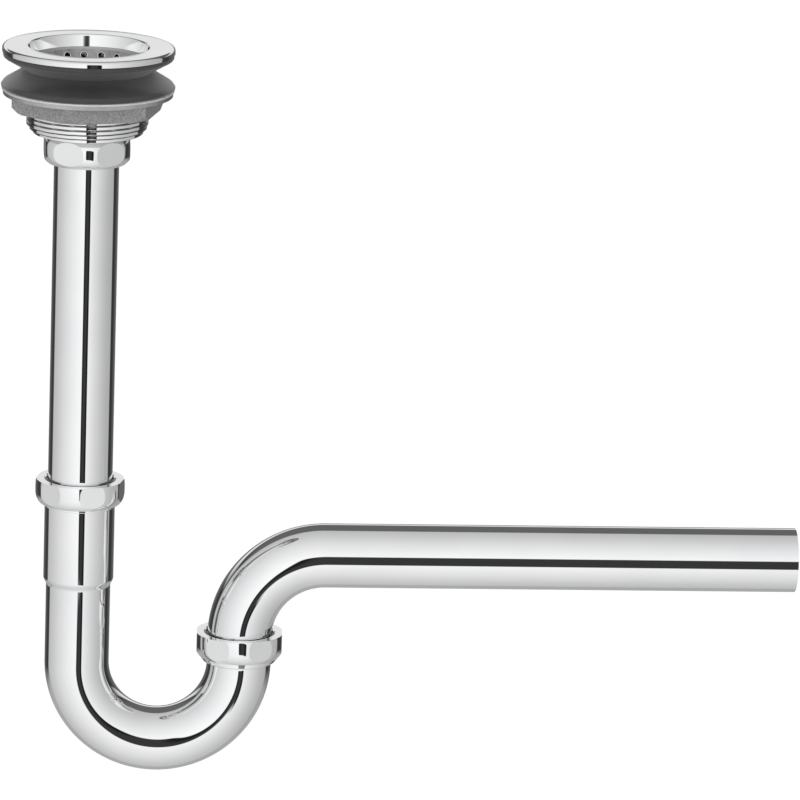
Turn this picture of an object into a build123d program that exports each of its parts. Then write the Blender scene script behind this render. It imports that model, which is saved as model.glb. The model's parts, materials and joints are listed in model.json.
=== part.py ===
from build123d import *
from math import cos, radians, sin, tan
import os

# Basin waste pipe in millimetres: a strainer waste, a tailpipe, a swivelling trap bend and a wall tube.
# The origin is the centre of the flange's underside, where the waste seats on the basin. +Z is up, and
# the wall tube leaves along +X. Threads are plain cylinders at their outer diameter.

# Tubes
TUBE_OD = 32.0
TUBE_WALL = 1.2
SOCKET_WALL = 1.1

# Clearances, all radial
SOCKET_GAP = 0.3
SEAL_GAP = 0.05
THREAD_GAP = 0.3
BARREL_GAP = 0.3
BRAZE_GAP = 0.05
DISH_GAP = 0.1

# Strainer waste body
FLANGE_WIDTH = 12.9
FLANGE_THICKNESS = 3.0
FLANGE_ROUND = 1.6
BOWL_FLARE = 0.6
BOWL_DEPTH = 6.0
BOWL_CURVE_RADIUS = 45.0
RECESS_WALL = 1.1
BOWL_LIP_ROUND = 0.7
LEDGE_WIDTH = 3.6
LEDGE_THICKNESS = 2.4
BARREL_DIA = 59.8
BARREL_WALL = 3.5
BARREL_LENGTH = 40.0
BARREL_FLOOR = 2.6
BARREL_FLOOR_FALL = 3.0
BARREL_CHAMFER = 3.2
SPIGOT_LENGTH = 7.9

# Strainer dish
DISH_SHEET = 1.0
DISH_RIM = 5.9
DISH_DEPTH = 6.0
DISH_DRAFT = 18.0
WALL_HOLES = 16
WALL_HOLE_DIA = 3.5
WALL_HOLE_TURN = 4.4
FLOOR_HOLES = 8
FLOOR_HOLE_DIA = 5.0
FLOOR_HOLE_CIRCLE = 25.0

# Rubber gaskets that grip the basin between them
FLANGE_GASKET_INSET = 0.5
GASKET_RIM = 2.4
GASKET_OVERHANG = 0.3
WAIST_WALL = 0.7
FLANGE_GASKET_HEIGHT = 8.6
CONE_GASKET_HEIGHT = 9.2
CONE_GASKET_RIM = 2.4
GASKET_LEAN = 0.5
GASKET_ROUND = 1.2
CONE_ROUND = 2.4

# Clamp washer and lock nut
CLAMP_WASHER_STEP = 0.3
CLAMP_WASHER_THICKNESS = 1.2
LOCK_FLANGE_STEP = 0.7
LOCK_FLANGE_THICKNESS = 1.9
LOCK_FLANGE_SLOPE = 2.0
LOCK_NUT_HEIGHT = 10.2
LOCK_NUT_WALL = 3.4
LOCK_NUT_CHAMFER = 3.0
LOCK_NUT_CORNER_ROUND = 1.0
LOCK_NUT_SIDES = 6
LOCK_NUT_TURN = 14.75

# Hand nuts with crowned flanks and six flats, their rings and washers
COLLAR_WALL = 1.95
NUT_WALL = 2.5
NUT_LIP = 2.4
NUT_BORE_GAP = 1.3
NUT_BORE_CHAMFER = 0.6
NUT_FLAT_DEPTH = 0.95
NUT_FLATS = 6
SLIP_NUT_HEIGHT = 12.0
SLIP_NUT_TOP_STEP = 0.4
SLIP_NUT_FOOT_STEP = 2.2
SLIP_NUT_BELLY = 5.0
COUPLING_NUT_HEIGHT = 13.8
COUPLING_NUT_MOUTH_STEP = 2.0
COUPLING_NUT_FOOT_STEP = 3.2
COUPLING_NUT_BELLY = 7.0
COUPLING_FLAT_DEPTH = 1.5
COUPLING_NUT_TURN = -57.5
INLET_NUT_TURN = -74.9
OUTLET_NUT_TURN = -63.1
RING_THICKNESS = 1.2
RING_BORE_GAP = 0.8
SLIP_WASHER_THICKNESS = 3.4
SLIP_WASHER_CHAMFER = 0.5
COLLAR_LIP = 1.5
COLLAR_LIP_STEP = 1.1
COLLAR_RELIEF = 0.4

# Tailpipe
TAIL_WASHER_THICKNESS = 2.0
TAIL_FLANGE_THICKNESS = 1.5
TAIL_FLANGE_STEP = 0.3
TAILPIPE_LENGTH = 200.1
TAILPIPE_INSERT = 28.0

# Trap bend
INLET_SOCKET_DEPTH = 43.5
INLET_SWAGE = 4.0
TRAP_LEG = 39.2
TRAP_CENTRES = 81.0
OUTLET_SWAGE = 1.0
OUTLET_LIP = 1.2
OUTLET_LIP_STEP = 0.2

# Wall tube
WALL_TUBE_END_GAP = 0.5
WALL_LEG = 11.6
WALL_BEND_RADIUS = 42.0
WALL_BEND_ANGLE = 90.0
WALL_RUN = 235.6

# Radii that several pieces share
tube_r = TUBE_OD / 2
bore_r = tube_r - TUBE_WALL
socket_bore_r = tube_r + SOCKET_GAP
socket_r = socket_bore_r + SOCKET_WALL
collar_bore_r = socket_r + BRAZE_GAP
thread_r = collar_bore_r + COLLAR_WALL
nut_thread_r = thread_r + THREAD_GAP
nut_r = nut_thread_r + NUT_WALL
flat_r = nut_r - NUT_FLAT_DEPTH
coupling_flat_r = nut_r - COUPLING_FLAT_DEPTH
nut_bore_r = tube_r + NUT_BORE_GAP
ring_r = nut_thread_r - THREAD_GAP
ring_bore_r = tube_r + RING_BORE_GAP
barrel_r = BARREL_DIA / 2
chamber_r = barrel_r - BARREL_WALL
recess_r = barrel_r - RECESS_WALL
dish_rim_r = recess_r - DISH_GAP
ledge_bore_r = dish_rim_r - LEDGE_WIDTH
bowl_r = recess_r + BOWL_FLARE
flange_r = bowl_r + FLANGE_WIDTH
barrel_bore_r = barrel_r + BARREL_GAP
lock_thread_r = barrel_r + THREAD_GAP
flange_gasket_r = flange_r - FLANGE_GASKET_INSET
gasket_r = flange_r + GASKET_OVERHANG
waist_r = barrel_bore_r + WAIST_WALL
clamp_washer_r = gasket_r - CLAMP_WASHER_STEP
lock_flange_r = clamp_washer_r - LOCK_FLANGE_STEP

# Heights, from the flange downwards
dish_top = FLANGE_THICKNESS - BOWL_DEPTH
ledge_top = dish_top - DISH_SHEET
waist_z = -FLANGE_GASKET_HEIGHT
clamp_washer_top = waist_z - CONE_GASKET_HEIGHT
lock_nut_top = clamp_washer_top - CLAMP_WASHER_THICKNESS
lock_nut_bottom = lock_nut_top - LOCK_NUT_HEIGHT
barrel_bottom = -BARREL_LENGTH
spigot_end = barrel_bottom - SPIGOT_LENGTH
tailpipe_top = spigot_end - TAIL_WASHER_THICKNESS
coupling_ring_top = tailpipe_top - TAIL_FLANGE_THICKNESS
coupling_lip_top = coupling_ring_top - RING_THICKNESS
coupling_nut_bottom = coupling_lip_top - NUT_LIP
tailpipe_bottom = tailpipe_top - TAILPIPE_LENGTH

slip_stack = NUT_LIP + RING_THICKNESS + SLIP_WASHER_THICKNESS
slip_grip = SLIP_NUT_HEIGHT - slip_stack

inlet_top = tailpipe_bottom + TAILPIPE_INSERT
inlet_swage_top = inlet_top - INLET_SOCKET_DEPTH
inlet_swage_bottom = inlet_swage_top - INLET_SWAGE
bend_z = inlet_swage_bottom - TRAP_LEG
bend_r = TRAP_CENTRES / 2
outlet_swage_top = bend_z + OUTLET_SWAGE
outlet_lip_steps = (OUTLET_LIP_STEP, COLLAR_LIP_STEP)
outlet_top = outlet_swage_top + slip_grip + OUTLET_LIP * len(outlet_lip_steps)

wall_tube_bottom = outlet_swage_top + WALL_TUBE_END_GAP
wall_bend_z = wall_tube_bottom + WALL_LEG
arm_z = wall_bend_z + WALL_BEND_RADIUS
wall_bend_x = TRAP_CENTRES + WALL_BEND_RADIUS

FULL_TURN = 360.0
HALF_TURN = FULL_TURN / 2
INLET_X = 0.0
OUTLET_X = TRAP_CENTRES
HALF_FLAT = HALF_TURN / NUT_FLATS


def upright(x=INLET_X, z=0.0, turn=0.0):
    """A plane through the vertical axis at x, turned from the front one, with its origin at height z."""
    outward = Vector(1, 0, 0).rotate(Axis.Z, turn)
    return Plane((x, 0, z), x_dir=outward, z_dir=outward.rotate(Axis.Z, -90))


def level(z, x=INLET_X):
    """The horizontal plane at height z, centred on the vertical axis at x."""
    return Plane((x, 0, z))


def vertical_axis(x=INLET_X):
    return Axis((x, 0, 0), (0, 0, 1))


def outer_circle(part, z_group):
    """The widest circular edge at the lowest (0) or highest (-1) level of a turned part."""
    return part.edges().filter_by(GeomType.CIRCLE).group_by(Axis.Z)[z_group].sort_by(SortBy.RADIUS)[-1]


def flat_ring(outer, inner, bottom, thickness, x=INLET_X, edge_chamfer=0.0):
    """A plain washer on the vertical axis at x."""
    with BuildPart() as ring:
        with BuildSketch(level(bottom, x)):
            Circle(outer)
            Circle(inner, mode=Mode.SUBTRACT)
        extrude(amount=thickness)
        if edge_chamfer:
            chamfer([outer_circle(ring, 0), outer_circle(ring, -1)], length=edge_chamfer)
    return ring


def slip_nut(top, x, turn):
    """A round nut with a crowned flank, a lip at its top and six spanner flats, threaded from below."""
    with BuildPart() as nut:
        with BuildSketch(upright(x, top, turn + HALF_FLAT)):
            with BuildLine():
                top_edge = (nut_r - SLIP_NUT_TOP_STEP, 0)
                belly = (nut_r, -SLIP_NUT_BELLY)
                foot = (nut_r - SLIP_NUT_FOOT_STEP, -SLIP_NUT_HEIGHT)
                TangentArc(belly, top_edge, tangent=(0, 1))
                TangentArc(belly, foot, tangent=(0, -1))
                Polyline(
                    foot,
                    (nut_thread_r, -SLIP_NUT_HEIGHT),
                    (nut_thread_r, -NUT_LIP),
                    (nut_bore_r, -NUT_LIP),
                    (nut_bore_r, -NUT_BORE_CHAMFER),
                    (nut_bore_r + NUT_BORE_CHAMFER, 0),
                    top_edge,
                )
            make_face()
        revolve(axis=vertical_axis(x))
        with BuildSketch(level(top, x)):
            RegularPolygon(flat_r, NUT_FLATS, major_radius=False, rotation=turn + HALF_FLAT)
        extrude(amount=-SLIP_NUT_HEIGHT, mode=Mode.INTERSECT)
    return nut


def threaded_collar(top, x, lip_height, lip_steps):
    """A ferrule brazed on a socket's end, with a thread for the slip nut and stepped lips below it."""
    thread_end = -(slip_grip - COLLAR_RELIEF)
    lips = []
    lip_top = thread_end
    for number, step in enumerate(lip_steps, start=1):
        lip_end = -(slip_grip + lip_height * number)
        lips += [(thread_r - step, lip_top), (thread_r - step, lip_end)]
        lip_top = lip_end
    with BuildPart() as collar:
        with BuildSketch(upright(x, top)):
            with BuildLine():
                Polyline(
                    (collar_bore_r, 0),
                    (thread_r, 0),
                    (thread_r, thread_end),
                    *lips,
                    (collar_bore_r, lip_top),
                    close=True,
                )
            make_face()
        revolve(axis=vertical_axis(x))
    return collar


# Strainer waste body, one turned casting: flange, bowl, barrel and outlet spigot
with BuildPart() as waste_body:
    with BuildSketch(upright()):
        with BuildLine():
            lip = (bowl_r, FLANGE_THICKNESS)
            bowl_foot = (recess_r, dish_top)
            floor_rim = barrel_bottom + BARREL_FLOOR + BARREL_FLOOR_FALL
            Line((flange_r, FLANGE_THICKNESS), lip)
            RadiusArc(lip, bowl_foot, BOWL_CURVE_RADIUS)
            Polyline(
                bowl_foot,
                (recess_r, ledge_top),
                (ledge_bore_r, ledge_top),
                (ledge_bore_r, ledge_top - LEDGE_THICKNESS),
                (chamber_r, ledge_top - LEDGE_THICKNESS - (chamber_r - ledge_bore_r)),
                (chamber_r, floor_rim),
                (bore_r, barrel_bottom + BARREL_FLOOR),
                (bore_r, spigot_end),
                (thread_r, spigot_end),
                (thread_r, barrel_bottom),
                (barrel_r - BARREL_CHAMFER, barrel_bottom),
                (barrel_r, barrel_bottom + BARREL_CHAMFER),
                (barrel_r, 0),
                (flange_r, 0),
                (flange_r, FLANGE_THICKNESS),
            )
        make_face()
    revolve(axis=vertical_axis())
    top_edges = waste_body.edges().filter_by(GeomType.CIRCLE).group_by(Axis.Z)[-1].sort_by(SortBy.RADIUS)
    fillet(top_edges[-1], radius=FLANGE_ROUND)
    fillet(top_edges[0], radius=BOWL_LIP_ROUND)
waste_body.part.label = "waste_body"

# Strainer dish, a pressed cup with a ring of holes square to its sloping wall and more in its floor
draft_run = DISH_DEPTH * tan(radians(DISH_DRAFT))
dish_mouth_r = dish_rim_r - DISH_RIM
dish_floor_r = dish_mouth_r - draft_run
wall_hole_r = dish_mouth_r - draft_run / 2


def wall_hole_plane(angle):
    """The plane of one wall hole, square to the sloping wall at half its height."""
    outward = Vector(1, 0, 0).rotate(Axis.Z, angle)
    down_tilt = radians(DISH_DRAFT)
    normal = outward * cos(down_tilt) - Vector(0, 0, 1) * sin(down_tilt)
    return Plane(outward * wall_hole_r + Vector(0, 0, dish_top - DISH_DEPTH / 2), z_dir=normal)


with BuildPart() as strainer_dish:
    with BuildSketch(upright(z=dish_top)):
        with BuildLine():
            outer_step = DISH_SHEET * (1 / cos(radians(DISH_DRAFT)) - tan(radians(DISH_DRAFT)))
            Polyline(
                (0, -DISH_DEPTH),
                (dish_floor_r, -DISH_DEPTH),
                (dish_mouth_r, 0),
                (dish_rim_r, 0),
                (dish_rim_r, -DISH_SHEET),
                (dish_mouth_r + outer_step, -DISH_SHEET),
                (dish_floor_r + outer_step, -DISH_DEPTH - DISH_SHEET),
                (0, -DISH_DEPTH - DISH_SHEET),
                close=True,
            )
        make_face()
    revolve(axis=vertical_axis())
    hole_turns = [WALL_HOLE_TURN + FULL_TURN * k / WALL_HOLES for k in range(WALL_HOLES)]
    with BuildSketch(*[wall_hole_plane(turn) for turn in hole_turns]):
        Circle(WALL_HOLE_DIA / 2)
    extrude(amount=2 * DISH_SHEET, both=True, mode=Mode.SUBTRACT)
    with BuildSketch(level(dish_top - DISH_DEPTH)):
        Circle(FLOOR_HOLE_DIA / 2)
        with PolarLocations(FLOOR_HOLE_CIRCLE / 2, FLOOR_HOLES):
            Circle(FLOOR_HOLE_DIA / 2)
    extrude(amount=2 * DISH_SHEET, both=True, mode=Mode.SUBTRACT)
strainer_dish.part.label = "strainer_dish"

# Upper rubber gasket, under the flange, with an inverted cone down to the waist
with BuildPart() as flange_gasket:
    with BuildSketch(upright()) as profile:
        with BuildLine():
            Polyline(
                (barrel_bore_r, 0),
                (flange_gasket_r, 0),
                (flange_gasket_r, -GASKET_RIM),
                (waist_r, waist_z),
                (barrel_bore_r, waist_z),
                close=True,
            )
        make_face()
        fillet(profile.vertices().sort_by(Axis.X)[-2:], radius=GASKET_ROUND)
    revolve(axis=vertical_axis())
flange_gasket.part.label = "flange_gasket"

# Lower rubber gasket, a cone that widens from the waist to the clamp washer
with BuildPart() as cone_gasket:
    with BuildSketch(upright()) as profile:
        with BuildLine():
            shoulder = (gasket_r - GASKET_LEAN, clamp_washer_top + CONE_GASKET_RIM)
            Polyline(
                (barrel_bore_r, waist_z),
                (waist_r, waist_z),
                shoulder,
                (gasket_r, clamp_washer_top),
                (barrel_bore_r, clamp_washer_top),
                close=True,
            )
        make_face()
        fillet(profile.vertices().sort_by(Axis.X)[-2], radius=CONE_ROUND)
    revolve(axis=vertical_axis())
cone_gasket.part.label = "cone_gasket"

clamp_washer = flat_ring(clamp_washer_r, barrel_bore_r, lock_nut_top, CLAMP_WASHER_THICKNESS)
clamp_washer.part.label = "clamp_washer"

# Lock nut, a rough casting: a round flange, a sloping shoulder and a hexagon with turned lower corners
hexagon_inner_r = lock_thread_r + LOCK_NUT_WALL
hexagon_r = hexagon_inner_r / cos(radians(HALF_TURN / LOCK_NUT_SIDES))
with BuildPart() as lock_nut:
    with BuildSketch(level(lock_nut_bottom)):
        RegularPolygon(hexagon_r, LOCK_NUT_SIDES, rotation=LOCK_NUT_TURN)
    extrude(amount=LOCK_NUT_HEIGHT)
    fillet(lock_nut.edges().filter_by(Axis.Z), radius=LOCK_NUT_CORNER_ROUND)
    with BuildSketch(upright(z=lock_nut_bottom)):
        with BuildLine():
            Polyline(
                (0, 0),
                (hexagon_r - LOCK_NUT_CHAMFER, 0),
                (hexagon_r, LOCK_NUT_CHAMFER),
                (hexagon_r, LOCK_NUT_HEIGHT),
                (0, LOCK_NUT_HEIGHT),
                close=True,
            )
        make_face()
    revolve(axis=vertical_axis(), mode=Mode.INTERSECT)
    with BuildSketch(upright(z=lock_nut_top)):
        with BuildLine():
            Polyline(
                (0, 0),
                (lock_flange_r, 0),
                (lock_flange_r, -LOCK_FLANGE_THICKNESS),
                (hexagon_inner_r, -LOCK_FLANGE_THICKNESS - LOCK_FLANGE_SLOPE),
                (0, -LOCK_FLANGE_THICKNESS - LOCK_FLANGE_SLOPE),
                close=True,
            )
        make_face()
    revolve(axis=vertical_axis())
    with BuildSketch(level(lock_nut_bottom)):
        Circle(lock_thread_r)
    extrude(amount=LOCK_NUT_HEIGHT, mode=Mode.SUBTRACT)
lock_nut.part.label = "lock_nut"

# Coupling nut, crowned to both ends, with its lip at the bottom and its thread on the spigot above
with BuildPart() as coupling_nut:
    with BuildSketch(upright(z=coupling_nut_bottom, turn=COUPLING_NUT_TURN + HALF_FLAT)):
        with BuildLine():
            foot = (nut_r - COUPLING_NUT_FOOT_STEP, 0)
            belly = (nut_r, COUPLING_NUT_BELLY)
            mouth_edge = (nut_r - COUPLING_NUT_MOUTH_STEP, COUPLING_NUT_HEIGHT)
            TangentArc(belly, foot, tangent=(0, -1))
            TangentArc(belly, mouth_edge, tangent=(0, 1))
            Polyline(
                mouth_edge,
                (nut_thread_r, COUPLING_NUT_HEIGHT),
                (nut_thread_r, NUT_LIP),
                (nut_bore_r, NUT_LIP),
                (nut_bore_r, 0),
                foot,
            )
        make_face()
    revolve(axis=vertical_axis())
    with BuildSketch(level(coupling_nut_bottom)):
        RegularPolygon(coupling_flat_r, NUT_FLATS, major_radius=False, rotation=COUPLING_NUT_TURN + HALF_FLAT)
    extrude(amount=COUPLING_NUT_HEIGHT, mode=Mode.INTERSECT)
coupling_nut.part.label = "coupling_nut"

coupling_ring = flat_ring(ring_r, ring_bore_r, coupling_lip_top, RING_THICKNESS)
coupling_ring.part.label = "coupling_ring"

tail_flange_r = thread_r - TAIL_FLANGE_STEP
tailpipe_washer = flat_ring(tail_flange_r, bore_r, tailpipe_top, TAIL_WASHER_THICKNESS)
tailpipe_washer.part.label = "tailpipe_washer"

# Tailpipe, a straight tube with a flange turned out at its top
with BuildPart() as tailpipe:
    with BuildSketch(level(tailpipe_bottom)):
        Circle(tube_r)
    extrude(amount=TAILPIPE_LENGTH)
    with BuildSketch(level(coupling_ring_top)):
        Circle(tail_flange_r)
    extrude(amount=TAIL_FLANGE_THICKNESS)
    with BuildSketch(level(tailpipe_bottom)):
        Circle(bore_r)
    extrude(amount=TAILPIPE_LENGTH, mode=Mode.SUBTRACT)
tailpipe.part.label = "tailpipe"

# Trap bend, one bent tube with a long socket at its inlet and a short one at its outlet
with BuildPart() as trap_bend:
    with BuildLine(upright()) as centreline:
        Line((INLET_X, inlet_swage_bottom), (INLET_X, bend_z))
        CenterArc((bend_r, bend_z), bend_r, start_angle=HALF_TURN, arc_size=HALF_TURN)
    with BuildSketch(level(inlet_swage_bottom)):
        Circle(tube_r)
        Circle(bore_r, mode=Mode.SUBTRACT)
    sweep(path=centreline.wire())
    for axis_x, swage_bottom, swage_top, mouth in (
        (INLET_X, inlet_swage_bottom, inlet_swage_top, inlet_top),
        (OUTLET_X, bend_z, outlet_swage_top, outlet_top),
    ):
        with BuildSketch(upright(axis_x)):
            with BuildLine():
                Polyline(
                    (bore_r, swage_bottom),
                    (tube_r, swage_bottom),
                    (socket_r, swage_top),
                    (socket_r, mouth),
                    (socket_bore_r, mouth),
                    (socket_bore_r, swage_top),
                    close=True,
                )
            make_face()
        revolve(axis=vertical_axis(axis_x))
trap_bend.part.label = "trap_bend"

# Wall tube, a bent tube that drops into the trap's outlet and runs level to the wall
with BuildPart() as wall_tube:
    with BuildLine(upright()) as centreline:
        Line((OUTLET_X, wall_tube_bottom), (OUTLET_X, wall_bend_z))
        bend_centre = (wall_bend_x, wall_bend_z)
        CenterArc(bend_centre, WALL_BEND_RADIUS, start_angle=HALF_TURN, arc_size=-WALL_BEND_ANGLE)
        Line((wall_bend_x, arm_z), (wall_bend_x + WALL_RUN, arm_z))
    with BuildSketch(level(wall_tube_bottom, OUTLET_X)):
        Circle(tube_r)
        Circle(bore_r, mode=Mode.SUBTRACT)
    sweep(path=centreline.wire())
wall_tube.part.label = "wall_tube"

pieces = [
    waste_body, strainer_dish, flange_gasket, cone_gasket, clamp_washer, lock_nut,
    coupling_nut, coupling_ring, tailpipe_washer, tailpipe, trap_bend, wall_tube,
]

# Slip joints: the same nut, friction ring, rubber washer and brazed collar at the trap's inlet and outlet
for joint, axis_x, mouth, nut_turn, lip_height, lip_steps in (
    ("inlet", INLET_X, inlet_top, INLET_NUT_TURN, COLLAR_LIP, (COLLAR_LIP_STEP,)),
    ("outlet", OUTLET_X, outlet_top, OUTLET_NUT_TURN, OUTLET_LIP, outlet_lip_steps),
):
    ring_bottom = mouth + SLIP_WASHER_THICKNESS
    joint_pieces = {
        "slip_nut": slip_nut(mouth + slip_stack, axis_x, nut_turn),
        "friction_ring": flat_ring(ring_r, ring_bore_r, ring_bottom, RING_THICKNESS, axis_x),
        "slip_washer": flat_ring(
            ring_r, tube_r + SEAL_GAP, mouth, SLIP_WASHER_THICKNESS, axis_x, SLIP_WASHER_CHAMFER,
        ),
        "collar": threaded_collar(mouth, axis_x, lip_height, lip_steps),
    }
    for name, piece in joint_pieces.items():
        piece.part.label = f"{joint}_{name}"
        pieces.append(piece)

os.makedirs("parts", exist_ok=True)
for piece in pieces:
    export_step(piece.part, f"parts/{piece.part.label}.step")
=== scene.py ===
import json
from math import acos, ceil, cos, pi, radians, sin, tan, tau

import bmesh
import bpy
from mathutils import Matrix, Vector

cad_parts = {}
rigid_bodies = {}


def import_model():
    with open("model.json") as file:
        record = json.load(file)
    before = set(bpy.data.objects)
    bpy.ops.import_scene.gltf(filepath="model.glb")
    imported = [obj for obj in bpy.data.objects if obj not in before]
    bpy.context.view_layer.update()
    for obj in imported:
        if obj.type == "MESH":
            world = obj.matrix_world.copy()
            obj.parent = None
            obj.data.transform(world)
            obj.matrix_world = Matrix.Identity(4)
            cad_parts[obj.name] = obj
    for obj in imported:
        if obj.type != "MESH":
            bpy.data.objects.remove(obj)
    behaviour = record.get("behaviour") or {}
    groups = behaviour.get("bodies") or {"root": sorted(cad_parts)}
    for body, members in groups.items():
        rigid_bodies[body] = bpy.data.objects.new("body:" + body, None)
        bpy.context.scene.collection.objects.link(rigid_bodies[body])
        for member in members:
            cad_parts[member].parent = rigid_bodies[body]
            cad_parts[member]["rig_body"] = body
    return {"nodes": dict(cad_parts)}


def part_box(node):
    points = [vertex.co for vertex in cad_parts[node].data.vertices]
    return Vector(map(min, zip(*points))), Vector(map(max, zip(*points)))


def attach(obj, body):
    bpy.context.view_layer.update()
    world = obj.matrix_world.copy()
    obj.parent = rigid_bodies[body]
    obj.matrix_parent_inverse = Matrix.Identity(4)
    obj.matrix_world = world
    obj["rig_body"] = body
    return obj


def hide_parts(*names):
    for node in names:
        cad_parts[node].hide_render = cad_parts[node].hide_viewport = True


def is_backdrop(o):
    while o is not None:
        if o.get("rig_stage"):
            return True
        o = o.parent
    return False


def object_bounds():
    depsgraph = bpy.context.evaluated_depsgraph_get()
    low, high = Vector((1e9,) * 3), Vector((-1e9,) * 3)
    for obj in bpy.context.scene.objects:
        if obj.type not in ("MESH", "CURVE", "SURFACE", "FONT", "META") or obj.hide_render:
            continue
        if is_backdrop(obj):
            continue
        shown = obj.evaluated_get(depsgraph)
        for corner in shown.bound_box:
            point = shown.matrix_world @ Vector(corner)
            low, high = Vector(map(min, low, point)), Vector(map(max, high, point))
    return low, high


# Looks for the basin waste pipe. Sizes are in metres in the part's own frame: z is up, the origin is the
# centre of the flange's underside, and the wall tube runs along +X.

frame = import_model()
nodes = frame["nodes"]
cad_low, cad_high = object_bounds()

# Camera, as fitted to the photograph
CAMERA_AZIMUTH = radians(-4.748)
CAMERA_ELEVATION = radians(14.048)
CAMERA_ROLL = radians(1.85)
CAMERA_DISTANCE = 3.2862
CAMERA_TARGET = Vector((0.154, 0.0, -0.176))
FRAME_SHIFT = Vector((-0.00375, -0.0026))
IMAGE_PIXELS = 800
PIXELS_PER_METRE = 2016.0
SENSOR = 36.0

# Tubes and their bends
TUBE_WALL = 0.0012
SOCKET_WALL = 0.0011
INLET_SOCKET = 0.0435
INLET_SWAGE = 0.004
OUTLET_SWAGE = 0.001
WALL_BEND_RADIUS = 0.042

# Nuts: a crowned flank from its widest point, the belly, in to both ends, with six flats
NUT_RADIUS = 0.0222
NUT_THREAD = 0.0197
NUT_BORE = 0.0173
NUT_LIP = 0.0024
NUT_BORE_CHAMFER = 0.0006
NUT_FLATS = 6
SLIP_BELLY = 0.005
SLIP_TOP_STEP = 0.0004
SLIP_FOOT_STEP = 0.0022
SLIP_FLAT_DEPTH = 0.00095
INLET_NUT_TURN = radians(-74.9)
OUTLET_NUT_TURN = radians(-63.1)
COUPLING_BELLY = 0.0068
COUPLING_MOUTH_STEP = 0.002
COUPLING_FOOT_STEP = 0.0032
COUPLING_FLAT_DEPTH = 0.0015
COUPLING_NUT_TURN = radians(-57.5)
CROWN_POWER = 3

# Collars under the slip nuts: each lip is set back from the thread by its own step, with rounded edges
COLLAR_WALL = 0.00195
COLLAR_RELIEF = 0.0004
LIP_STEPS = {"inlet": (0.0011,), "outlet": (0.0002, 0.0011)}
LIP_ROUND = 0.0003
LIP_ROUND_POWER = 8
LIP_ROWS = 24

# Waste body
BARREL_RADIUS = 0.0299
BARREL_TAPER = 0.0045
TAPER_SLOPE = 0.75
BARREL_BOTTOM = -0.040
THREAD_TOP = -0.010
THREAD_PITCH = 0.0023
THREAD_DEPTH = 0.0007
THREAD_CREST_SHARE = 0.58
FLANGE_ROUND = 0.0016
BOWL_RADIUS = 0.0294
BOWL_LIP_ROUND = 0.0007
BOWL_FOOT = 0.02845
BOWL_LIP_START = 172
BOWL_LIP_END = 100
LIP_HOLD = 0.93
RECESS_RADIUS = 0.0288
DISH_SEAT = -0.004
DISH_TOP = -0.003
DISH_GAP = 0.00005
LEDGE_BORE = 0.0251
LEDGE_UNDERSIDE = -0.0064
CHAMBER_RADIUS = 0.0264
CHAMBER_RIM = -0.0344
CHAMBER_FLOOR = -0.0374
SPIGOT_RADIUS = 0.0194

# Strainer dish
DISH_RIM = 0.0059
DISH_DEPTH = 0.006
DISH_DRAFT = radians(18.0)
WALL_HOLES = 16
WALL_HOLE_RADIUS = 0.00175
WALL_HOLE_TURN = radians(4.4)
HOLE_RIM = 0.00022

# Lower gasket
GASKET_BORE = 0.0302
WAIST_RADIUS = 0.0309
GASKET_RIM = 0.0024
GASKET_LEAN = 0.0005
GASKET_FOOT = 0.001
SHOULDER_REACH = 0.0014
ROUND_STEPS = 16

# Lock nut
LOCK_FLANGE = 0.0026
TURNED_BLEND = 0.0006

# Mesh fineness
AROUND = 192
BEND_STEPS = 144
CROWN_STEPS = 48
ROWS_PER_PITCH = 18
FLAT_COLUMNS = 12
ROUND_COLUMNS = 20
FILLET_STEPS = 10
BOWL_LIP_STEPS = 8
RIM_AROUND = 40
RIM_ACROSS = 10
WELD = 1e-7

# Faces that meet at more than these angles keep a crease
NUT_CREASE = radians(10)
BODY_CREASE = radians(30)
PIPE_CREASE = radians(35)
MOULDED_CREASE = radians(40)
COLLAR_CREASE = radians(50)
NO_CREASE = pi

# Chrome and rubber finish, with painted shade on the thread's groove slopes and a painted sheen on the rubber
UPRIGHT_STREAKS = (1.0, 1.0, 0.08)
LEVEL_STREAKS = (0.08, 1.0, 1.0)
# The thread's groove slopes: painted shade in their colour, and a little more roughness
GROOVE_FADE = 0.0002
GROOVE_PAINTED_SHADE = (0.40, 0.40, 0.40, 1.0)
GROOVE_DULLNESS = 0.12
# Greys of the rubber's painted sheen, mixed into its colour at grazing angles
RUBBER_PAINTED_SHEEN = 0.07
GASKET_PAINTED_SHEEN = 0.5

# Studio
FLOOR_DROP = 0.25
FLOOR_SIZE = 8.0
FLOOR_COLOUR = (0.86, 0.86, 0.86, 1.0)
FLOOR_LIFT = 0.54
WHITE = (1.0, 1.0, 1.0, 1.0)
# The tent's brightness at angles, in degrees, from its camera-side front to its back
TENT = (
    (0.0, 1.08), (60.0, 0.78), (90.0, 0.62), (115.0, 0.53),
    (119.0, 0.045), (132.0, 0.045), (145.0, 0.11), (180.0, 0.24),
)
RIGHT_SHADE = 0.2
RIGHT_SHADE_START = 0.2
EDGE_SOFTNESS = radians(1.5)
GAP_SIDES = radians(0.8), radians(20.5)
GAP_HEIGHTS = radians(-18.8), radians(10.2)
GAP_ROUNDING = 8.0
GAP_SOFTNESS = 0.06
GAP_DARK = (0.012, 0.012, 0.012, 1.0)
GAP_MIDDLE = (0.040, 0.040, 0.040, 1.0)
GAP_MIDDLE_SIDES = radians(5.0), radians(15.0)
DROOP_START = radians(8.0)
SILL_DROOP = 2.0
FLOOR_GLOW_ANGLES = radians(112.0), radians(118.0)
FLOOR_GLOW_HEIGHTS = radians(-18.0), radians(-26.0)
FLOOR_LIT = (0.42, 0.42, 0.42, 1.0)
CEILING_ANGLES = radians(114.0), radians(119.0)
CEILING_HEIGHTS = radians(22.0), radians(32.0)
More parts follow.
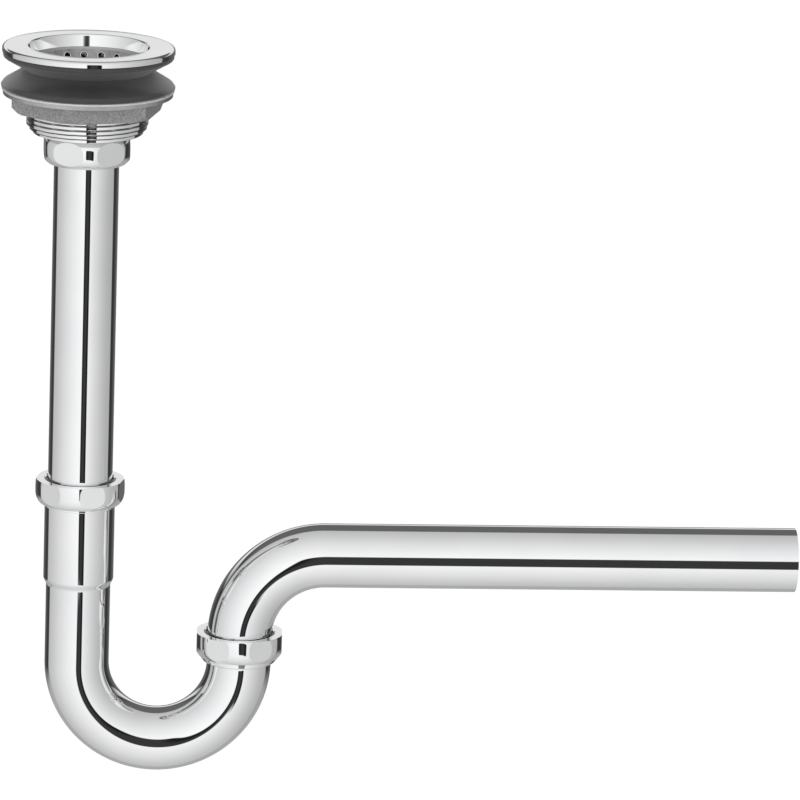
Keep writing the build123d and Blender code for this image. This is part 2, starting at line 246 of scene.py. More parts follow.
CEILING_LIT = (0.13, 0.13, 0.13, 1.0)
BACKDROP_FACING = -0.5, -0.8
BACKDROP_HEIGHTS = radians(8.0), radians(20.0)
BACKDROP_LIT = (0.80, 0.80, 0.80, 1.0)


# Shader helpers

def new_material(name):
    """A material with an empty node tree, its Principled shader and the object's own coordinates."""
    material = bpy.data.materials.new(name)
    material.use_nodes = True
    tree = material.node_tree
    tree.nodes.clear()
    output = tree.nodes.new("ShaderNodeOutputMaterial")
    shader = tree.nodes.new("ShaderNodeBsdfPrincipled")
    tree.links.new(shader.outputs["BSDF"], output.inputs["Surface"])
    coords = tree.nodes.new("ShaderNodeTexCoord")
    return material, tree, shader, coords.outputs["Object"]


def stretched(tree, vector, scale):
    """The coordinates scaled along each axis."""
    node = tree.nodes.new("ShaderNodeMapping")
    node.inputs["Scale"].default_value = scale
    tree.links.new(vector, node.inputs["Vector"])
    return node.outputs["Vector"]


def noise(tree, vector, scale, detail=3.0):
    node = tree.nodes.new("ShaderNodeTexNoise")
    node.inputs["Scale"].default_value = scale
    node.inputs["Detail"].default_value = detail
    tree.links.new(vector, node.inputs["Vector"])
    return node.outputs["Fac"]


def spread(tree, value, low, high, to_low, to_high, clamped=True):
    """A value stretched from one range to another."""
    node = tree.nodes.new("ShaderNodeMapRange")
    node.clamp = clamped
    for name, number in (("From Min", low), ("From Max", high), ("To Min", to_low), ("To Max", to_high)):
        node.inputs[name].default_value = number
    tree.links.new(value, node.inputs["Value"])
    return node.outputs["Result"]


def number_math(tree, operation, first, second):
    node = tree.nodes.new("ShaderNodeMath")
    node.operation = operation
    for socket, value in zip(node.inputs, (first, second)):
        if isinstance(value, (int, float)):
            socket.default_value = value
        else:
            tree.links.new(value, socket)
    return node.outputs["Value"]


def within(tree, value, low, high, soft):
    """One where a value lies between two limits, and nought outside, with soft edges."""
    rise = spread(tree, value, low - soft, low + soft, 0.0, 1.0)
    fall = spread(tree, value, high - soft, high + soft, 1.0, 0.0)
    return number_math(tree, "MULTIPLY", rise, fall)


def two_tone(tree, value, dark, light):
    """A colour that a texture's value moves between two greys or tints."""
    ramp = tree.nodes.new("ShaderNodeValToRGB")
    ramp.color_ramp.elements[0].position = 0.3
    ramp.color_ramp.elements[0].color = (*dark, 1.0)
    ramp.color_ramp.elements[1].position = 0.7
    ramp.color_ramp.elements[1].color = (*light, 1.0)
    tree.links.new(value, ramp.inputs["Fac"])
    return ramp.outputs["Color"]


def mix(tree, factor, first, second):
    """A colour between two, each a colour or a linked socket."""
    node = tree.nodes.new("ShaderNodeMix")
    node.data_type = "RGBA"
    sockets = [s for s in node.inputs if s.type == "RGBA"]
    tree.links.new(factor, node.inputs["Factor"])
    for socket, value in zip(sockets, (first, second)):
        if isinstance(value, tuple):
            socket.default_value = value
        else:
            tree.links.new(value, socket)
    return next(s for s in node.outputs if s.type == "RGBA")


def bump(tree, value, strength, distance):
    node = tree.nodes.new("ShaderNodeBump")
    node.inputs["Strength"].default_value = strength
    node.inputs["Distance"].default_value = distance
    tree.links.new(value, node.inputs["Height"])
    return node.outputs["Normal"]


def chrome_material(name, streaks):
    """Bright chrome plate. Faint polishing marks, drawn out along streaks, vary its gloss."""
    material, tree, shader, position = new_material(name)
    marks = noise(tree, stretched(tree, position, streaks), 60.0)
    haze = noise(tree, position, 35.0, 2.0)
    plate = two_tone(tree, haze, (0.90, 0.905, 0.915), (0.94, 0.943, 0.948))
    tree.links.new(plate, shader.inputs["Base Color"])
    tree.links.new(spread(tree, marks, 0.3, 0.7, 0.012, 0.035), shader.inputs["Roughness"])
    shader.inputs["Metallic"].default_value = 1.0
    return material


def threaded_chrome_material(top, bottom):
    """Chrome plate whose thread, between two heights, has dull slopes to its grooves, their colour darkened
    as painted shade.
    """
    material = chrome_material("threaded_chrome", UPRIGHT_STREAKS)
    tree = material.node_tree
    shader = next(node for node in tree.nodes if node.type == "BSDF_PRINCIPLED")
    coords = next(node for node in tree.nodes if node.type == "TEX_COORD")
    place = tree.nodes.new("ShaderNodeSeparateXYZ")
    slope = tree.nodes.new("ShaderNodeSeparateXYZ")
    tree.links.new(coords.outputs["Object"], place.inputs[0])
    tree.links.new(coords.outputs["Normal"], slope.inputs[0])
    on_thread = within(tree, place.outputs["Z"], bottom, top, GROOVE_FADE)
    steep = spread(tree, number_math(tree, "ABSOLUTE", slope.outputs["Z"], 0.0), 0.2, 0.5, 0.0, 1.0)
    groove = number_math(tree, "MULTIPLY", on_thread, steep)
    plate = shader.inputs["Base Color"].links[0].from_socket
    gloss = shader.inputs["Roughness"].links[0].from_socket
    # Painted shade: the groove slopes' colour is mixed towards a dark grey
    tree.links.new(mix(tree, groove, plate, GROOVE_PAINTED_SHADE), shader.inputs["Base Color"])
    dulled = number_math(tree, "ADD", gloss, number_math(tree, "MULTIPLY", groove, GROOVE_DULLNESS))
    tree.links.new(dulled, shader.inputs["Roughness"])
    return material


def rubber_material(name, sheen_grey):
    """Dark moulded rubber with a pale painted sheen in its colour, which shows more the flatter one looks
    along the surface.
    """
    material, tree, shader, position = new_material(name)
    mottle = noise(tree, position, 90.0, 4.0)
    grain = noise(tree, position, 1800.0, 3.0)
    black = two_tone(tree, mottle, (0.050, 0.050, 0.051), (0.066, 0.066, 0.067))
    slant = tree.nodes.new("ShaderNodeLayerWeight").outputs["Facing"]
    # Painted sheen: the colour turns pale grey towards grazing angles
    painted_sheen_colour = mix(tree, spread(tree, slant, 0.45, 1.0, 0.0, 1.0), black, (sheen_grey, sheen_grey, sheen_grey, 1.0))
    tree.links.new(painted_sheen_colour, shader.inputs["Base Color"])
    tree.links.new(spread(tree, mottle, 0.3, 0.7, 0.4, 0.5), shader.inputs["Roughness"])
    tree.links.new(bump(tree, grain, 0.15, 0.0002), shader.inputs["Normal"])
    shader.inputs["Specular IOR Level"].default_value = 0.6
    shader.inputs["Sheen Weight"].default_value = 0.5
    shader.inputs["Sheen Roughness"].default_value = 0.4
    return material


def cast_material(turned_above):
    """A rough casting whose upper part, above a height, is turned smooth."""
    material, tree, shader, position = new_material("rough_casting")
    split = tree.nodes.new("ShaderNodeSeparateXYZ")
    tree.links.new(position, split.inputs[0])
    low, high = turned_above - TURNED_BLEND, turned_above + TURNED_BLEND
    turned = spread(tree, split.outputs["Z"], low, high, 0.0, 1.0)
    grains = noise(tree, position, 1100.0, 5.0)
    patches = noise(tree, position, 160.0, 3.0)
    rough = two_tone(tree, grains, (0.30, 0.30, 0.30), (0.56, 0.56, 0.555))
    bright = two_tone(tree, patches, (0.50, 0.50, 0.495), (0.60, 0.60, 0.595))
    tree.links.new(mix(tree, turned, rough, bright), shader.inputs["Base Color"])
    tree.links.new(spread(tree, turned, 0.0, 1.0, 0.55, 0.36), shader.inputs["Roughness"])
    tree.links.new(spread(tree, turned, 0.0, 1.0, 0.45, 1.0), shader.inputs["Metallic"])
    tree.links.new(bump(tree, grains, 0.55, 0.0006), shader.inputs["Normal"])
    return material


def satin_material():
    """Pressed sheet with a dull plated face."""
    material, tree, shader, position = new_material("satin_sheet")
    cloud = noise(tree, position, 300.0, 4.0)
    sheet = two_tone(tree, cloud, (0.24, 0.24, 0.245), (0.42, 0.42, 0.425))
    tree.links.new(sheet, shader.inputs["Base Color"])
    tree.links.new(spread(tree, cloud, 0.3, 0.7, 0.22, 0.36), shader.inputs["Roughness"])
    shader.inputs["Metallic"].default_value = 1.0
    return material


def zinc_material():
    """Bright zinc plate, a little milky."""
    material, tree, shader, position = new_material("bright_zinc")
    marks = noise(tree, stretched(tree, position, (1.0, 1.0, 12.0)), 220.0, 4.0)
    tree.links.new(two_tone(tree, marks, (0.84, 0.84, 0.83), (0.93, 0.93, 0.92)), shader.inputs["Base Color"])
    tree.links.new(spread(tree, marks, 0.3, 0.7, 0.2, 0.34), shader.inputs["Roughness"])
    shader.inputs["Metallic"].default_value = 0.3
    return material


def nylon_material():
    """Plain off-white nylon."""
    material, tree, shader, position = new_material("plain_nylon")
    cloud = noise(tree, position, 120.0, 3.0)
    tree.links.new(two_tone(tree, cloud, (0.78, 0.78, 0.74), (0.85, 0.85, 0.82)), shader.inputs["Base Color"])
    tree.links.new(spread(tree, cloud, 0.3, 0.7, 0.4, 0.55), shader.inputs["Roughness"])
    return material


# Turned, bent and crowned pieces, drawn finely enough for mirror finish

def add_piece(name, vertices, faces, sharp_angle):
    """A smooth-shaded object with creases where its faces meet at more than sharp_angle."""
    mesh = bpy.data.meshes.new(name)
    mesh.from_pydata(vertices, [], faces)
    tidy = bmesh.new()
    tidy.from_mesh(mesh)
    bmesh.ops.remove_doubles(tidy, verts=tidy.verts, dist=WELD)
    bmesh.ops.recalc_face_normals(tidy, faces=tidy.faces)
    tidy.to_mesh(mesh)
    tidy.free()
    mesh.shade_smooth()
    mesh.set_sharp_from_angle(angle=sharp_angle)
    piece = bpy.data.objects.new(name, mesh)
    bpy.context.scene.collection.objects.link(piece)
    return piece


def closed_grid(rows):
    """Vertices and quads of a surface whose rows are closed loops, the last row joined to the first."""
    count = len(rows[0])
    vertices = [point for row in rows for point in row]
    faces = []
    for i in range(len(rows)):
        j = (i + 1) % len(rows)
        for k in range(count):
            m = (k + 1) % count
            faces.append((i * count + k, i * count + m, j * count + m, j * count + k))
    return vertices, faces


def stand_in(piece, node):
    """A piece takes a CAD node's place and moves with its body."""
    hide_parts(node)
    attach(piece, nodes[node]["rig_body"])


def smooth_step(t):
    t = min(max(t, 0.0), 1.0)
    return t * t * (3.0 - 2.0 * t)


def ring(centre_x, centre_z, heading, radius):
    """A circle of points square to a centreline in the XZ plane that heads that way."""
    points = []
    for k in range(AROUND):
        t = tau * k / AROUND
        across = radius * cos(t)
        points.append((centre_x - across * sin(heading), radius * sin(t), centre_z + across * cos(heading)))
    return points


def pipe(name, stations):
    """A tube through stations of (x, z, heading, outer radius, inner radius), open at both ends."""
    outside = [ring(x, z, heading, outer) for x, z, heading, outer, inner in stations]
    inside = [ring(x, z, heading, inner) for x, z, heading, outer, inner in reversed(stations)]
    return add_piece(name, *closed_grid(outside + inside), PIPE_CREASE)


wall_low, wall_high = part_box("wall_tube")
trap_low, trap_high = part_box("trap_bend")
tube_r = (wall_high.y - wall_low.y) / 2
socket_r = (trap_high.y - trap_low.y) / 2
bore_r = tube_r - TUBE_WALL
socket_bore_r = socket_r - SOCKET_WALL
inlet_x = trap_low.x + socket_r
outlet_x = trap_high.x - socket_r
trap_r = (outlet_x - inlet_x) / 2
trap_z = trap_low.z + tube_r + trap_r
inlet_mouth = trap_high.z
outlet_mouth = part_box("outlet_collar")[1].z


def swage(x, heading, wide_z, narrow_z, widening):
    """Stations along a smooth change between the socket and the tube, in the direction of flow."""
    stations = []
    for k in range(CROWN_STEPS // 2 + 1):
        t = k / (CROWN_STEPS // 2)
        share = smooth_step(t if widening else 1.0 - t)
        z = narrow_z + (wide_z - narrow_z) * (t if widening else 1.0 - t)
        outer = tube_r + (socket_r - tube_r) * share
        inner = bore_r + (socket_bore_r - bore_r) * share
        stations.append((x, z, heading, outer, inner))
    return stations


DOWN, UP, LEVEL = -pi / 2, pi / 2, 0.0
inlet_swage_top = inlet_mouth - INLET_SOCKET
trap_path = [(inlet_x, inlet_mouth, DOWN, socket_r, socket_bore_r)]
trap_path += swage(inlet_x, DOWN, inlet_swage_top, inlet_swage_top - INLET_SWAGE, False)
for k in range(BEND_STEPS + 1):
    turned = pi * k / BEND_STEPS
    trap_path.append((
        inlet_x + trap_r * (1.0 - cos(turned)), trap_z - trap_r * sin(turned), DOWN + turned, tube_r, bore_r,
    ))
trap_path += swage(outlet_x, UP, trap_z + OUTLET_SWAGE, trap_z, True)[1:]
trap_path.append((outlet_x, outlet_mouth, UP, socket_r, socket_bore_r))
trap = pipe("trap_bend_polished", trap_path)
stand_in(trap, "trap_bend")

arm_z = wall_high.z - tube_r
wall_bend_z = arm_z - WALL_BEND_RADIUS
wall_path = [(outlet_x, wall_low.z, UP, tube_r, bore_r)]
for k in range(BEND_STEPS // 2 + 1):
    turned = pi * k / BEND_STEPS
    wall_path.append((
        outlet_x + WALL_BEND_RADIUS * (1.0 - cos(turned)), wall_bend_z + WALL_BEND_RADIUS * sin(turned),
        UP - turned, tube_r, bore_r,
    ))
wall_path.append((wall_high.x, arm_z, LEVEL, tube_r, bore_r))
wall = pipe("wall_tube_polished", wall_path)
stand_in(wall, "wall_tube")


def crown(belly, end):
    """Points of the curve that leaves a nut's belly upright and rolls in to one of its ends."""
    step, run = belly[0] - end[0], belly[1] - end[1]
    points = []
    for k in range(CROWN_STEPS + 1):
        t = k / CROWN_STEPS
        points.append((belly[0] - step * t ** CROWN_POWER, belly[1] - run * t))
    return points


def crowned_nut(name, axis_x, outline, flat_depth, turn):
    """A nut turned from a closed outline of (radius, z), with flats cut square to its flank.
    The columns of each row follow the flats' edges, so that these stay crisp."""
    flat_r = NUT_RADIUS - flat_depth
    sector = tau / NUT_FLATS
    rows = []
    for radius, z in outline:
        edge = acos(flat_r / radius) if radius > flat_r else 0.0
        row = []
        for f in range(NUT_FLATS):
            centre = turn + f * sector
            offs = [edge * (2.0 * k / FLAT_COLUMNS - 1.0) for k in range(FLAT_COLUMNS)]
            offs += [edge + (sector - 2.0 * edge) * k / ROUND_COLUMNS for k in range(ROUND_COLUMNS)]
            for off in offs:
                reach = min(radius, flat_r / cos(off)) if abs(off) <= edge else radius
                row.append((axis_x + reach * cos(centre + off), reach * sin(centre + off), z))
        rows.append(row)
    return add_piece(name, *closed_grid(rows), NUT_CREASE)


def slip_nut(joint, axis_x, turn):
    low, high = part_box(f"{joint}_slip_nut")
    belly = (NUT_RADIUS, high.z - SLIP_BELLY)
    outline = list(reversed(crown(belly, (NUT_RADIUS - SLIP_TOP_STEP, high.z))))
    outline += crown(belly, (NUT_RADIUS - SLIP_FOOT_STEP, low.z))[1:]
    outline += [(NUT_THREAD, low.z), (NUT_THREAD, high.z - NUT_LIP), (NUT_BORE, high.z - NUT_LIP)]
    outline += [(NUT_BORE, high.z - NUT_BORE_CHAMFER), (NUT_BORE + NUT_BORE_CHAMFER, high.z)]
    nut = crowned_nut(f"{joint}_slip_nut_polished", axis_x, outline, SLIP_FLAT_DEPTH, turn)
    stand_in(nut, f"{joint}_slip_nut")
    return nut


inlet_nut = slip_nut("inlet", inlet_x, INLET_NUT_TURN)
outlet_nut = slip_nut("outlet", outlet_x, OUTLET_NUT_TURN)


def lathe(name, axis_x, outline, sharp_angle):
    """A piece turned about an upright axis from a closed outline of (radius, z)."""
    turns = [tau * k / AROUND for k in range(AROUND)]
    rows = [[(axis_x + r * cos(t), r * sin(t), z) for t in turns] for r, z in outline]
    return add_piece(name, *closed_grid(rows), sharp_angle)


def lipped_collar(joint, axis_x):
    """A collar whose lips show below its slip nut, with a fine groove above each."""
    low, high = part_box(f"{joint}_collar")
    nut_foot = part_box(f"{joint}_slip_nut")[0].z
    thread = (high.x - low.x) / 2
    steps = LIP_STEPS[joint]
    half_lip = (nut_foot - low.z) / len(steps) / 2
    outline = [(thread - COLLAR_WALL, low.z), (thread - COLLAR_WALL, high.z), (thread, high.z)]
    outline.append((thread, nut_foot + COLLAR_RELIEF))
    outline.append((thread - steps[0] - LIP_ROUND, nut_foot + COLLAR_RELIEF))
    for number, step in enumerate(steps):
        middle = nut_foot - half_lip * (2 * number + 1)
        for k in range(LIP_ROWS + 1):
            t = 2.0 * k / LIP_ROWS - 1.0
            outline.append((thread - step - LIP_ROUND * t ** LIP_ROUND_POWER, middle - half_lip * t))
    collar = lathe(f"{joint}_collar_lipped", axis_x, outline, COLLAR_CREASE)
    stand_in(collar, f"{joint}_collar")
    return collar


inlet_collar = lipped_collar("inlet", inlet_x)
outlet_collar = lipped_collar("outlet", outlet_x)

low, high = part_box("coupling_nut")
belly = (NUT_RADIUS, high.z - COUPLING_BELLY)
outline = list(reversed(crown(belly, (NUT_RADIUS - COUPLING_MOUTH_STEP, high.z))))
outline += crown(belly, (NUT_RADIUS - COUPLING_FOOT_STEP, low.z))[1:]
outline += [(NUT_BORE, low.z), (NUT_BORE, low.z + NUT_LIP)]
outline += [(NUT_THREAD, low.z + NUT_LIP), (NUT_THREAD, high.z)]
coupling = crowned_nut("coupling_nut_polished", inlet_x, outline, COUPLING_FLAT_DEPTH, COUPLING_NUT_TURN)
stand_in(coupling, "coupling_nut")


def fillet(centre, radius, start, end, steps=FILLET_STEPS):
    """Points of an arc in the (radius, z) section from one angle to another, in degrees."""
    points = []
    for k in range(steps + 1):
        a = radians(start + (end - start) * k / steps)
        points.append((centre[0] + radius * cos(a), centre[1] + radius * sin(a)))
    return points


def thread_radius(z, angle):
    """The threaded barrel's radius at a height and an angle round the axis. On its tapered end each turn
    keeps an upright crest of its own."""
    turns = (z - THREAD_TOP) / THREAD_PITCH - angle / tau
    along = turns % 1.0
    crest_z = z + (0.5 - along) * THREAD_PITCH
    crest = BARREL_RADIUS - TAPER_SLOPE * min(max(0.0, taper_top - crest_z), BARREL_TAPER)
    groove = max(0.0, abs(along - 0.5) - THREAD_CREST_SHARE / 2) / (0.5 - THREAD_CREST_SHARE / 2)
    return crest - THREAD_DEPTH * groove * smooth_step((THREAD_TOP - z) / THREAD_PITCH)


body_low, body_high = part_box("waste_body")
flange_r = (body_high.x - body_low.x) / 2
flange_top = body_high.z
section = [(BOWL_RADIUS + BOWL_LIP_ROUND, flange_top)]
section += fillet((flange_r - FLANGE_ROUND, flange_top - FLANGE_ROUND), FLANGE_ROUND, 90, 0)
section += [(flange_r, 0.0), (BARREL_RADIUS, 0.0), (BARREL_RADIUS, THREAD_TOP)]
thread_start = len(section)
thread_rows = ceil((THREAD_TOP - BARREL_BOTTOM) / THREAD_PITCH * ROWS_PER_PITCH)
taper_top = BARREL_BOTTOM + BARREL_TAPER
for k in range(1, thread_rows + 1):
    section.append((BARREL_RADIUS, THREAD_TOP + (BARREL_BOTTOM - THREAD_TOP) * k / thread_rows))
thread_stop = len(section)
section += [(SPIGOT_RADIUS, BARREL_BOTTOM), (SPIGOT_RADIUS, body_low.z)]
section += [(bore_r, body_low.z), (bore_r, CHAMBER_FLOOR)]
section += [(CHAMBER_RADIUS, CHAMBER_RIM), (CHAMBER_RADIUS, LEDGE_UNDERSIDE - (CHAMBER_RADIUS - LEDGE_BORE))]
section += [(LEDGE_BORE, LEDGE_UNDERSIDE), (LEDGE_BORE, DISH_SEAT), (RECESS_RADIUS, DISH_SEAT)]
section += [(RECESS_RADIUS, DISH_TOP + DISH_GAP), (BOWL_FOOT, DISH_TOP + DISH_GAP)]
lip_centre = (BOWL_RADIUS + BOWL_LIP_ROUND, flange_top - BOWL_LIP_ROUND)
bowl_lip = fillet(lip_centre, BOWL_LIP_ROUND, BOWL_LIP_START, BOWL_LIP_END, BOWL_LIP_STEPS)
section.append(tuple(a + (b - a) * LIP_HOLD for a, b in zip(section[-1], bowl_lip[0])))
section += bowl_lip

rows = []
for i, (radius, z) in enumerate(section):
    row = []
    for k in range(AROUND):
        t = tau * k / AROUND
        reach = thread_radius(z, t) if thread_start <= i < thread_stop else radius
        row.append((reach * cos(t), reach * sin(t), z))
    rows.append(row)
body = add_piece("waste_body_turned", *closed_grid(rows), BODY_CREASE)
stand_in(body, "waste_body")

# Lower gasket, with its foot's edge rounded off as moulded rubber is
cone_low, cone_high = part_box("cone_gasket")
gasket_r = (cone_high.x - cone_low.x) / 2
shoulder = Vector((gasket_r - GASKET_LEAN, cone_low.z + GASKET_RIM))
up_slope = (Vector((WAIST_RADIUS, cone_high.z)) - shoulder).normalized()
down_rim = (Vector((gasket_r, cone_low.z)) - shoulder).normalized()
profile = [(GASKET_BORE, cone_low.z), (GASKET_BORE, cone_high.z), (WAIST_RADIUS, cone_high.z)]
for k in range(ROUND_STEPS + 1):
    t = k / ROUND_STEPS
    leaving = shoulder + up_slope * SHOULDER_REACH
    arriving = shoulder + down_rim * SHOULDER_REACH
    profile.append(tuple(leaving * (1 - t) ** 2 + shoulder * 2 * t * (1 - t) + arriving * t ** 2))
profile += fillet((gasket_r - GASKET_FOOT, cone_low.z + GASKET_FOOT), GASKET_FOOT, 10, -90)
gasket = lathe("cone_gasket_moulded", 0.0, profile, MOULDED_CREASE)
stand_in(gasket, "cone_gasket")

# Clamp washer, with its rim rolled round
washer_low, washer_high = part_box("clamp_washer")
rim_round = (washer_high.z - washer_low.z) / 2
rim_centre = ((washer_high.x - washer_low.x) / 2 - rim_round, washer_low.z + rim_round)
profile = [(GASKET_BORE, washer_low.z), (GASKET_BORE, washer_high.z)]
profile += fillet(rim_centre, rim_round, 90, -90, ROUND_STEPS)
washer = lathe("clamp_washer_rolled", 0.0, profile, MOULDED_CREASE)
stand_in(washer, "clamp_washer")

# Rolled rims round the holes in the dish's sloping wall
dish_low, dish_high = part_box("strainer_dish")
dish_mouth_r = (dish_high.x - dish_low.x) / 2 - DISH_RIM
hole_circle = dish_mouth_r - DISH_DEPTH / 2 * tan(DISH_DRAFT)
hole_z = dish_high.z - DISH_DEPTH / 2
rim_vertices, rim_faces = [], []
for hole in range(WALL_HOLES):
    turn = WALL_HOLE_TURN + tau * hole / WALL_HOLES
    outward = Vector((cos(turn), sin(turn), 0.0))
    along = Vector((-sin(turn), cos(turn), 0.0))
    inward = Vector((0.0, 0.0, 1.0)) * sin(DISH_DRAFT) - outward * cos(DISH_DRAFT)
    upward = inward.cross(along)
    centre = outward * hole_circle + Vector((0.0, 0.0, hole_z))
    first = len(rim_vertices)
    for i in range(RIM_AROUND):
        a = tau * i / RIM_AROUND
        spoke = along * cos(a) + upward * sin(a)
        for j in range(RIM_ACROSS):
            b = tau * j / RIM_ACROSS
            reach = WALL_HOLE_RADIUS + HOLE_RIM * cos(b)
            rim_vertices.append(centre + spoke * reach + inward * HOLE_RIM * sin(b))
            i_next, j_next = (i + 1) % RIM_AROUND, (j + 1) % RIM_ACROSS
            rim_faces.append((
                first + i * RIM_ACROSS + j, first + i_next * RIM_ACROSS + j,
                first + i_next * RIM_ACROSS + j_next, first + i * RIM_ACROSS + j_next,
            ))
rims = add_piece("strainer_hole_rims", rim_vertices, rim_faces, NO_CREASE)
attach(rims, nodes["strainer_dish"]["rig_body"])

upright_chrome = chrome_material("upright_chrome", UPRIGHT_STREAKS)
level_chrome = chrome_material("level_chrome", LEVEL_STREAKS)
rubber = rubber_material("moulded_rubber", RUBBER_PAINTED_SHEEN)
sheen_painted_rubber = rubber_material("sheen_painted_rubber", GASKET_PAINTED_SHEEN)
materials = {name: upright_chrome for name in nodes}
lock_flange_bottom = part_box("lock_nut")[1].z - LOCK_FLANGE
materials.update(
    wall_tube=level_chrome, lock_nut=cast_material(lock_flange_bottom), clamp_washer=zinc_material(),
    strainer_dish=satin_material(), waste_body=threaded_chrome_material(THREAD_TOP, BARREL_BOTTOM),
)
nylon = nylon_material()
for name in nodes:
    if name.endswith(("gasket", "washer")) and name != "clamp_washer":
        materials[name] = rubber
    elif name.endswith("ring"):
        materials[name] = nylon
# The lower gasket gets the stronger painted sheen
materials["cone_gasket"] = sheen_painted_rubber
for name, node in nodes.items():
    node.data.materials.clear()
    node.data.materials.append(materials[name])
for piece, node in (
    (trap, "trap_bend"), (wall, "wall_tube"), (inlet_nut, "inlet_slip_nut"), (outlet_nut, "outlet_slip_nut"),
    (coupling, "coupling_nut"), (body, "waste_body"), (gasket, "cone_gasket"), (washer, "clamp_washer"),
    (inlet_collar, "inlet_collar"), (outlet_collar, "outlet_collar"),
):
    piece.data.materials.append(materials[node])
rims.data.materials.append(upright_chrome)


# Studio: a white tent that is brightest at the camera's side and dark behind the object

def vector_math(tree, operation, vector, constant):
    node = tree.nodes.new("ShaderNodeVectorMath")
    node.operation = operation
    tree.links.new(vector, node.inputs[0])
    node.inputs[1].default_value = constant
    return node.outputs["Value"]


def facing(azimuth, elevation=0.0):
    """The direction from the object towards a camera at that azimuth and elevation."""
    return Vector((sin(azimuth) * cos(elevation), -cos(azimuth) * cos(elevation), sin(elevation)))


def off_middle(tree, value, limits):
    """How far a value lies from the middle of two limits, one at either limit, to the power GAP_ROUNDING."""
    share = number_math(tree, "ABSOLUTE", spread(tree, value, *limits, -1.0, 1.0, clamped=False), 0.0)
    return number_math(tree, "POWER", share, GAP_ROUNDING)


world = bpy.data.worlds.new("studio")
bpy.context.scene.world = world
world.use_nodes = True
tree = world.node_tree
tree.nodes.clear()
direction = tree.nodes.new("ShaderNodeTexCoord").outputs["Generated"]
front = facing(CAMERA_AZIMUTH)
right = Vector((cos(CAMERA_AZIMUTH), sin(CAMERA_AZIMUTH), 0.0))
towards_front = vector_math(tree, "DOT_PRODUCT", direction, front)
towards_right = vector_math(tree, "DOT_PRODUCT", direction, right)
towards_top = vector_math(tree, "DOT_PRODUCT", direction, (0.0, 0.0, 1.0))

angle = number_math(tree, "ARCCOSINE", towards_front, 0.0)
tent = tree.nodes.new("ShaderNodeValToRGB")
elements = tent.color_ramp.elements
while len(elements) < len(TENT):
    elements.new(0.5)
for element, (degrees_off, level) in zip(elements, TENT):
    element.position = degrees_off / 180.0
    element.color = (level, level, level, 1.0)
tree.links.new(number_math(tree, "DIVIDE", angle, pi), tent.inputs["Fac"])

# A narrow dark gap in the tent with rounded corners, where the camera looks in. Its sill droops to the right.
sideways = number_math(tree, "ARCTAN2", towards_right, towards_front)
height = number_math(tree, "ARCSINE", towards_top, 0.0)
past_start = number_math(tree, "MAXIMUM", number_math(tree, "SUBTRACT", sideways, DROOP_START), 0.0)
droop = number_math(tree, "MULTIPLY", number_math(tree, "POWER", past_start, 2.0), SILL_DROOP)
drooping = number_math(tree, "ADD", height, droop)
off_sides = off_middle(tree, sideways, GAP_SIDES)
off_heights = off_middle(tree, drooping, GAP_HEIGHTS)
off_gap = number_math(tree, "POWER", number_math(tree, "ADD", off_sides, off_heights), 1.0 / GAP_ROUNDING)
gap = spread(tree, off_gap, 1.0 - GAP_SOFTNESS, 1.0 + GAP_SOFTNESS, 1.0, 0.0)
gap_middle = within(tree, sideways, *GAP_MIDDLE_SIDES, EDGE_SOFTNESS)
# The floor behind the object, lit from the front
floor_glow = number_math(
    tree, "MULTIPLY",
    spread(tree, angle, *FLOOR_GLOW_ANGLES, 0.0, 1.0),
    spread(tree, height, *FLOOR_GLOW_HEIGHTS, 0.0, 1.0),
)
# The ceiling behind the object, a little lighter than the walls
ceiling = number_math(
    tree, "MULTIPLY",
    spread(tree, angle, *CEILING_ANGLES, 0.0, 1.0),
    spread(tree, height, *CEILING_HEIGHTS, 0.0, 1.0),
)
# The backdrop's lit lower part, which the level faces mirror
backdrop = number_math(
    tree, "MULTIPLY",
    spread(tree, towards_front, *BACKDROP_FACING, 0.0, 1.0),
    within(tree, height, *BACKDROP_HEIGHTS, EDGE_SOFTNESS),
)
walls = mix(tree, ceiling, mix(tree, floor_glow, tent.outputs["Color"], FLOOR_LIT), CEILING_LIT)
behind = mix(tree, backdrop, walls, BACKDROP_LIT)
studio = mix(tree, gap, behind, mix(tree, gap_middle, GAP_DARK, GAP_MIDDLE))
seen = tree.nodes.new("ShaderNodeLightPath").outputs["Is Camera Ray"]
background = tree.nodes.new("ShaderNodeBackground")
tree.links.new(mix(tree, seen, studio, WHITE), background.inputs["Color"])
# The right-hand wall of the tent is further off, so a little darker
right_shade = spread(tree, towards_right, RIGHT_SHADE_START, 1.0, 0.0, RIGHT_SHADE)
unseen_shade = number_math(tree, "MULTIPLY", right_shade, number_math(tree, "SUBTRACT", 1.0, seen))
tree.links.new(number_math(tree, "SUBTRACT", 1.0, unseen_shade), background.inputs["Strength"])
output = tree.nodes.new("ShaderNodeOutputWorld")
tree.links.new(background.outputs["Background"], output.inputs["Surface"])

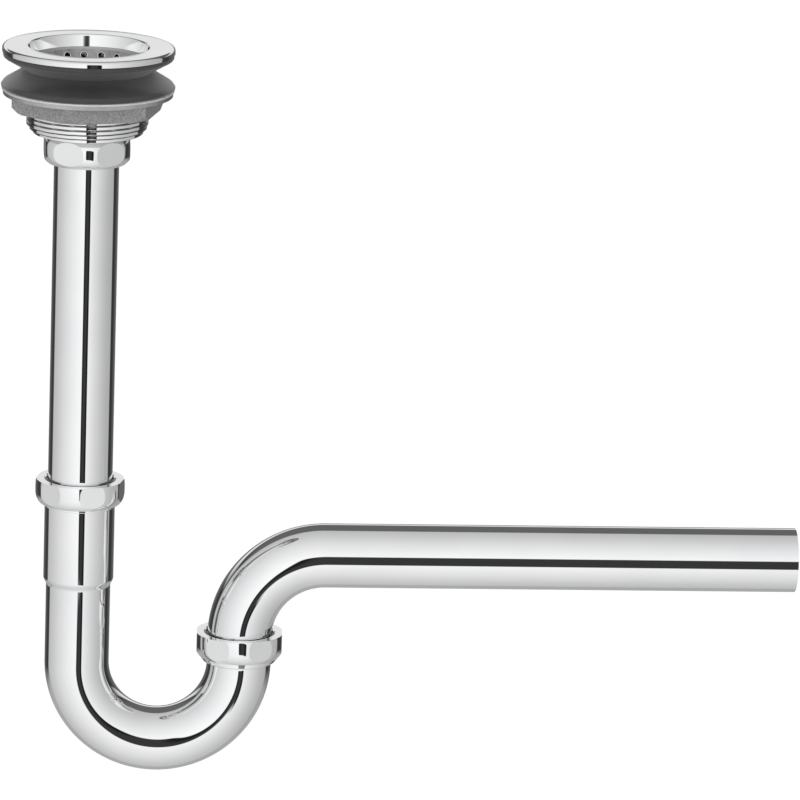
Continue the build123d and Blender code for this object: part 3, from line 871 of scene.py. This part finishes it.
# Floor: pale, lifted to white where the camera sees it, and clear from below
floor_mesh = bpy.data.meshes.new("floor")
half = FLOOR_SIZE / 2
floor_z = cad_low.z - FLOOR_DROP
corners = [(-half, -half, floor_z), (half, -half, floor_z), (half, half, floor_z), (-half, half, floor_z)]
floor_mesh.from_pydata(corners, [], [(0, 1, 2, 3)])
floor = bpy.data.objects.new("floor", floor_mesh)
bpy.context.scene.collection.objects.link(floor)
floor.visible_glossy = False
floor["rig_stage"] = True
floor_material = bpy.data.materials.new("pale_floor")
floor_material.use_nodes = True
tree = floor_material.node_tree
tree.nodes.clear()
matt = tree.nodes.new("ShaderNodeBsdfDiffuse")
matt.inputs["Color"].default_value = FLOOR_COLOUR
white = tree.nodes.new("ShaderNodeEmission")
clear = tree.nodes.new("ShaderNodeBsdfTransparent")
lifted = tree.nodes.new("ShaderNodeAddShader")
seen_white = tree.nodes.new("ShaderNodeMixShader")
one_sided = tree.nodes.new("ShaderNodeMixShader")
tree.links.new(tree.nodes.new("ShaderNodeLightPath").outputs["Is Camera Ray"], seen_white.inputs[0])
tree.links.new(matt.outputs[0], seen_white.inputs[1])
white.inputs["Strength"].default_value = FLOOR_LIFT
tree.links.new(matt.outputs[0], lifted.inputs[0])
tree.links.new(white.outputs[0], lifted.inputs[1])
tree.links.new(lifted.outputs[0], seen_white.inputs[2])
tree.links.new(tree.nodes.new("ShaderNodeNewGeometry").outputs["Backfacing"], one_sided.inputs[0])
tree.links.new(seen_white.outputs[0], one_sided.inputs[1])
tree.links.new(clear.outputs[0], one_sided.inputs[2])
tree.links.new(one_sided.outputs[0], tree.nodes.new("ShaderNodeOutputMaterial").inputs["Surface"])
floor_mesh.materials.append(floor_material)

# Camera
back = facing(CAMERA_AZIMUTH, CAMERA_ELEVATION)
level_up = back.cross(right)
camera_right = right * cos(CAMERA_ROLL) + level_up * sin(CAMERA_ROLL)
camera_up = level_up * cos(CAMERA_ROLL) - right * sin(CAMERA_ROLL)
camera_data = bpy.data.cameras.new("camera")
camera_data.sensor_width = SENSOR
camera_data.lens = SENSOR * PIXELS_PER_METRE * CAMERA_DISTANCE / IMAGE_PIXELS
camera_data.clip_end = 10 * CAMERA_DISTANCE
camera = bpy.data.objects.new("camera", camera_data)
bpy.context.scene.collection.objects.link(camera)
place = CAMERA_TARGET + back * CAMERA_DISTANCE - camera_right * FRAME_SHIFT.x - camera_up * FRAME_SHIFT.y
turn = Matrix((camera_right, camera_up, back)).transposed()
camera.matrix_world = Matrix.Translation(place) @ turn.to_4x4()
bpy.context.scene.camera = camera

bpy.context.scene.view_settings.view_transform = "Standard"

low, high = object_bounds()
